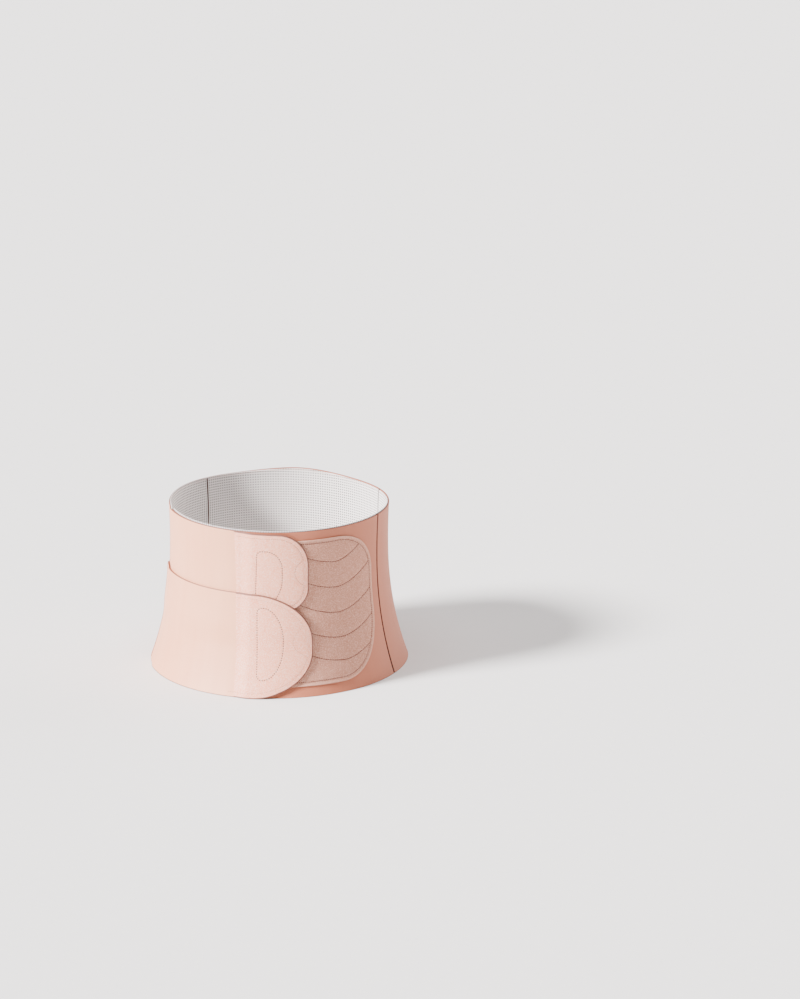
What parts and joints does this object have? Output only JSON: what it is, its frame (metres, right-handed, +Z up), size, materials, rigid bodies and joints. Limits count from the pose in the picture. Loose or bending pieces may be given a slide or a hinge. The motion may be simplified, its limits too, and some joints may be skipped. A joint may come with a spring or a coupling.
{
  "type": "abdominal binder",
  "caption": "Wrap-round abdominal binder of stretch fabric with a perforated lining, closed in front by two overlapping hook tabs on a plush loop pad, standing on its flared hem.",
  "frame": {"origin": "on the floor under the middle of the binder's outline seen from above", "axes": "+Z up from hem to rim, -Y towards the front with the closing tabs, +X towards the wearer's left"},
  "size_m": [0.332, 0.3518, 0.215],
  "materials": {
    "outer_fabric": "smooth warp-knit stretch fabric, matt with a faint sheen",
    "tab_fabric": "smooth warp-knit stretch fabric, pale",
    "tab_plush": "short brushed plush",
    "loop_pile": "brushed loop pile, matt",
    "lining": "perforated knit lining, matt",
    "hook_tape": "hook tape, matt",
    "seam": "thread-covered seam, dark"
  },
  "bodies": {
    "root": {"back_panel": "outer_fabric", "side_right_panel": "outer_fabric", "side_left_panel": "outer_fabric", "underlap_panel": "outer_fabric", "back_lining": "lining", "side_right_lining": "lining", "side_left_lining": "lining", "underlap_lining": "lining", "wing_lining": "lining", "seam_right_front": "seam", "seam_right_back": "seam", "seam_left_back": "seam", "seam_left_front": "seam", "upper_tab": "tab_fabric", "lower_tab": "tab_fabric", "upper_tab_end": "tab_plush", "lower_tab_end": "tab_plush", "loop_pad": "loop_pile", "upper_hook_pad": "hook_tape", "lower_hook_pad": "hook_tape"}
  },
  "joints": []
}
